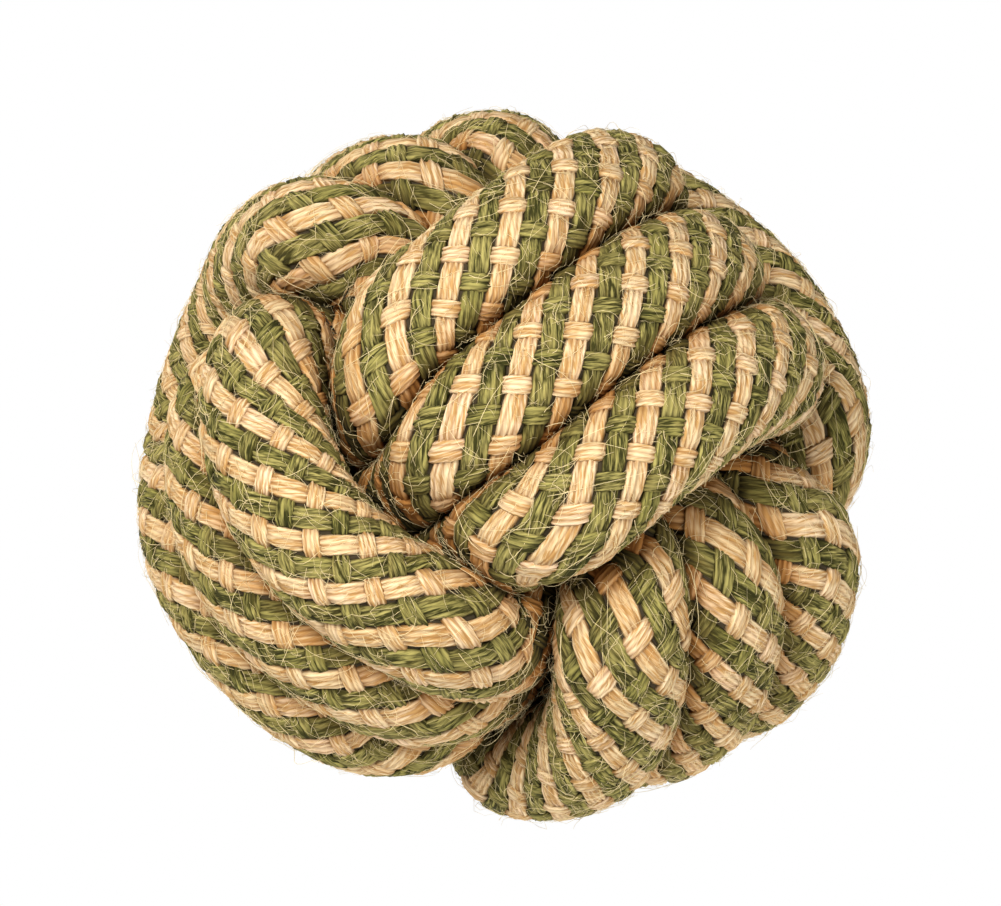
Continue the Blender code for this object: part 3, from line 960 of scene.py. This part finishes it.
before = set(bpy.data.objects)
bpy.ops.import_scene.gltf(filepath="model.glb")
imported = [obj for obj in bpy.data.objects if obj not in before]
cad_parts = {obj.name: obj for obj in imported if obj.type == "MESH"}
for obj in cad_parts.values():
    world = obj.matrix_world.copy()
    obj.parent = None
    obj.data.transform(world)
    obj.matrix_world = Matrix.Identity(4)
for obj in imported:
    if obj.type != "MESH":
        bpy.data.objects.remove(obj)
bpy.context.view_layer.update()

ball_low, ball_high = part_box("core_ball")
ball = Ball(np.array((ball_low + ball_high) / 2), (ball_high.z - ball_low.z) / 2)
route, route_radii, route_step = rope_route(ball.radius + PRESSED_RADIUS + BALL_CLEARANCE)
for way, share in ((LONG_WAY, LONGER), (NARROW_WAY, -NARROWER)):
    way = unit(np.array(way))
    route = route + share * (route @ way)[:, None] * way
rope = soft_rope(route + ball.middle, route_radii, route_step, ball)

jute_grain = jute_group()
# Each jute's rust brown also colours the painted brown shade of its creases, and its shade colour
# the painted shade between its yarns
straw = jute_material(
    "straw_jute",
    jute_grain,
    pale=(0.72, 0.60, 0.36),
    blush=(0.76, 0.56, 0.38),
    deep=(0.44, 0.26, 0.095),
    rusty=(0.46, 0.215, 0.055),
    shade=(0.17, 0.065, 0.014),
)
olive = jute_material(
    "olive_jute",
    jute_grain,
    pale=(0.40, 0.345, 0.115),
    blush=(0.235, 0.215, 0.052),
    deep=(0.027, 0.028, 0.004),
    rusty=(0.13, 0.092, 0.020),
    shade=(0.011, 0.009, 0.002),
)
shadow, _, _ = plain_material("braid_shadow", (0.03, 0.02, 0.006), 0.95)
hair, _, _ = plain_material("hair_jute", (0.70, 0.57, 0.31), 0.7)
yarn_grain = yarn_group()
twine = yarn_material("brown_twine", yarn_grain, (0.30, 0.19, 0.10), 0.6, 2500.0)
cotton = yarn_material("cotton_yarn", yarn_grain, (0.76, 0.72, 0.64), 0.95, 1500.0)

base = make_base(rope, shadow)
base_shape = BVHTree.FromPolygons(
    [tuple(v.co) for v in base.data.vertices], [tuple(p.vertices) for p in base.data.polygons]
)
cells = braid_cells((len(rope.line) - 1) * rope.step)
seen = seen_cells(rope, cells, base_shape)
covered = with_cells_beside(seen, cells)
on_rope = [
    make_strands("straw_strands", rope, cells, covered & cells.straw, straw),
    make_strands("olive_strands", rope, cells, covered & ~cells.straw, olive),
    make_fibres("loose_fibres", LONG_FIBRES, rope, cells, seen, hair),
    make_fibres("fuzz", FUZZ, rope, cells, seen, hair),
    make_filler(rope, cotton),
    make_whipping("start_twine", "start_whipping", rope.line[0], rope.line[1], twine),
    make_whipping("end_twine", "end_whipping", rope.line[-1], rope.line[-2], twine),
]
make_ball(ball, wood_material())

# Camera and lights

CAMERA_AZIMUTH = math.radians(115.4)
CAMERA_ELEVATION = math.radians(56.1)
CAMERA_ROLL = math.radians(34.3)
CAMERA_DISTANCE = 612 * MM
CAMERA_SENSOR = 36
PHOTO_WIDTH = 1001
PHOTO_HEIGHT = 906
PHOTO_FOCUS = 4000  # the lens, in the photograph's own pixels
KNOT_AT = (516, 460)  # where the knot's middle lies on the photograph

knot_middle = Vector(ball.middle)
back = np.array(
    [
        math.sin(CAMERA_AZIMUTH) * math.cos(CAMERA_ELEVATION),
        -math.cos(CAMERA_AZIMUTH) * math.cos(CAMERA_ELEVATION),
        math.sin(CAMERA_ELEVATION),
    ]
)
level = np.array([math.cos(CAMERA_AZIMUTH), math.sin(CAMERA_AZIMUTH), 0.0])
upright = np.cross(back, level)
right = math.cos(CAMERA_ROLL) * level + math.sin(CAMERA_ROLL) * upright
up = np.cross(back, right)

camera = bpy.data.objects.new("camera", bpy.data.cameras.new("camera"))
bpy.context.scene.collection.objects.link(camera)
turned = Matrix([[right[i], up[i], back[i]] for i in range(3)]).to_4x4()
camera.matrix_world = Matrix.Translation(knot_middle + Vector(back) * CAMERA_DISTANCE) @ turned
camera.data.sensor_width = CAMERA_SENSOR
camera.data.lens = PHOTO_FOCUS / PHOTO_WIDTH * CAMERA_SENSOR
camera.data.shift_x = -(KNOT_AT[0] - PHOTO_WIDTH / 2) / PHOTO_WIDTH
camera.data.shift_y = (KNOT_AT[1] - PHOTO_HEIGHT / 2) / PHOTO_WIDTH
camera.data.clip_start = 0.01
bpy.context.scene.camera = camera


def make_light(name, toward, distance, size, power, colour):
    """A soft round light that faces the knot. The way to it is given in the camera's own
    right, up and back."""
    light = bpy.data.lights.new(name, "AREA")
    light.shape = "DISK"
    light.size = size
    light.energy = power
    light.color = colour
    made = bpy.data.objects.new(name, light)
    bpy.context.scene.collection.objects.link(made)
    direction = Vector(unit(toward[0] * right + toward[1] * up + toward[2] * back))
    place = knot_middle + direction * distance
    facing = (place - knot_middle).to_track_quat("Z", "Y").to_matrix().to_4x4()
    made.matrix_world = Matrix.Translation(place) @ facing


make_light("key", (-0.35, 0.45, 0.9), 0.5, size=0.3, power=4.0, colour=(1.0, 0.97, 0.92))
make_light("fill", (0.6, -0.45, 0.8), 0.7, size=0.4, power=4.1, colour=(1.0, 0.985, 0.96))

# Floor and backdrop, which show plain white to the camera alone

WHITE = (1.0, 1.0, 1.0, 1.0)
FLOOR_HALF = 2.0
FLOOR_DROP = 0.02 * MM


def shown_to_camera(tree, lit, shown, output):
    """Joins two shaders: one that lights the knot, and one that the camera sees instead."""
    path = node(tree, "ShaderNodeLightPath")
    choice = node(tree, "ShaderNodeMixShader")
    tree.links.new(path.outputs["Is Camera Ray"], choice.inputs[0])
    tree.links.new(lit.outputs[0], choice.inputs[1])
    tree.links.new(shown.outputs[0], choice.inputs[2])
    tree.links.new(choice.outputs[0], output.inputs["Surface"])


world = bpy.data.worlds.new("studio")
bpy.context.scene.world = world
world.use_nodes = True
sky = world.node_tree
backdrop = sky.nodes["Background"]
backdrop.inputs["Color"].default_value = WHITE
backdrop.inputs["Strength"].default_value = 1.0
studio = node(sky, "ShaderNodeBackground")
studio.inputs["Color"].default_value = (1.0, 0.98, 0.95, 1.0)
studio.inputs["Strength"].default_value = 0.22
shown_to_camera(sky, studio, backdrop, sky.nodes["World Output"])

floor = new_piece(
    "floor",
    np.array([(-1, -1, 0), (1, -1, 0), (1, 1, 0), (-1, 1, 0)]) * FLOOR_HALF,
    [(0, 1, 2, 3)],
    smooth=False,
)
floor.location.z = -FLOOR_DROP
floor_material, floor_tree, floor_shader = plain_material("pale_floor", (0.9, 0.9, 0.9), 0.9)
glow = node(floor_tree, "ShaderNodeEmission")
glow.inputs["Color"].default_value = WHITE
shown_to_camera(floor_tree, floor_shader, glow, floor_tree.nodes["Material Output"])
floor.data.materials.append(floor_material)

bpy.context.scene.view_settings.view_transform = "Standard"
